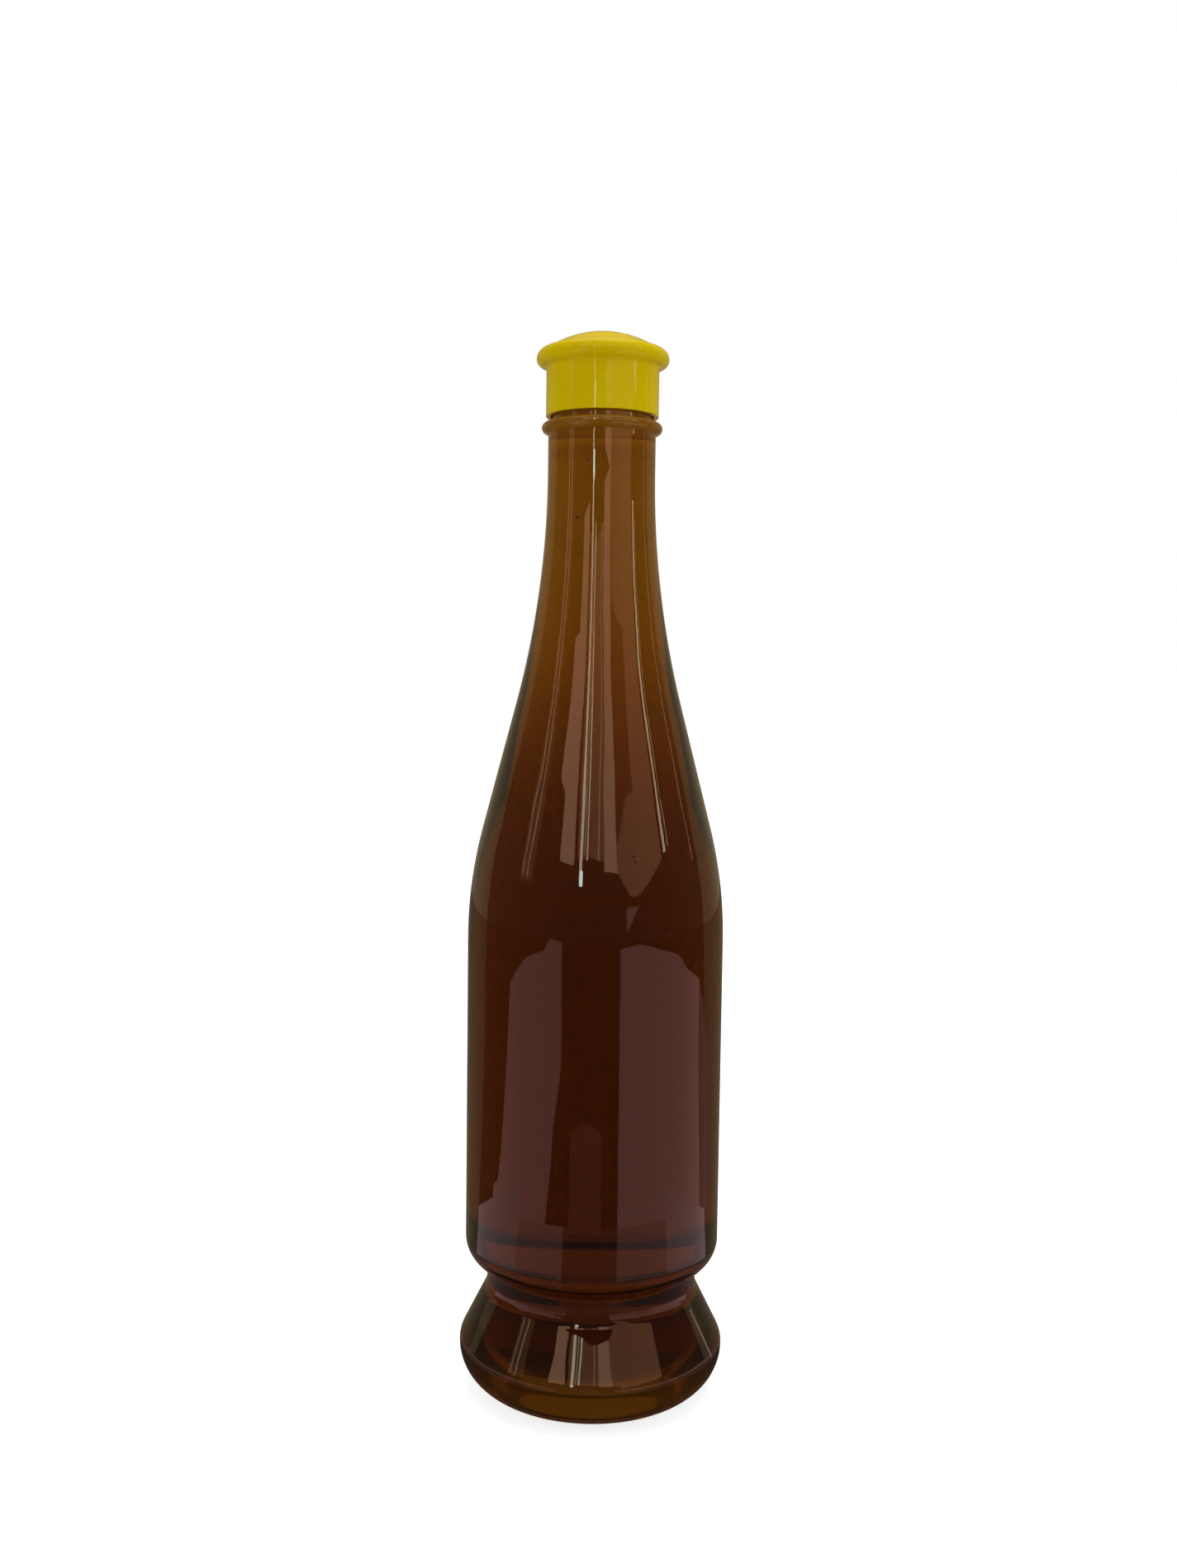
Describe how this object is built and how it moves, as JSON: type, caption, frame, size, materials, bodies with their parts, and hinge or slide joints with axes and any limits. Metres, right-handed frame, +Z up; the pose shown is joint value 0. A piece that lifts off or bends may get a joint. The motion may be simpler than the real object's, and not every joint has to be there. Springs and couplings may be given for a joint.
{
  "type": "bottle of honey",
  "caption": "Tall clear bottle filled with dark honey: bell foot, narrow waist, straight body, long sloping shoulder, ringed neck and a yellow push-on cap with a rounded brim.",
  "frame": {"origin": "centre of the ring that the bottle stands on, at the height of the surface under it", "axes": "+Z up along the axis of the bottle and out through the cap; X and Y lie in the surface it stands on, and since every piece is round any side may face +X"},
  "size_m": [0.0742, 0.0742, 0.2928],
  "materials": {
    "bottle": "clear blown plastic, glossy, with a faint vertical waviness",
    "honey": "dark amber honey, clear and amber where thin, almost black-brown through the body",
    "cap": "bright yellow moulded plastic, glossy, faintly see-through at thin edges"
  },
  "bodies": {
    "root": {"bottle": "bottle", "honey": "honey", "cap": "cap"}
  },
  "joints": []
}
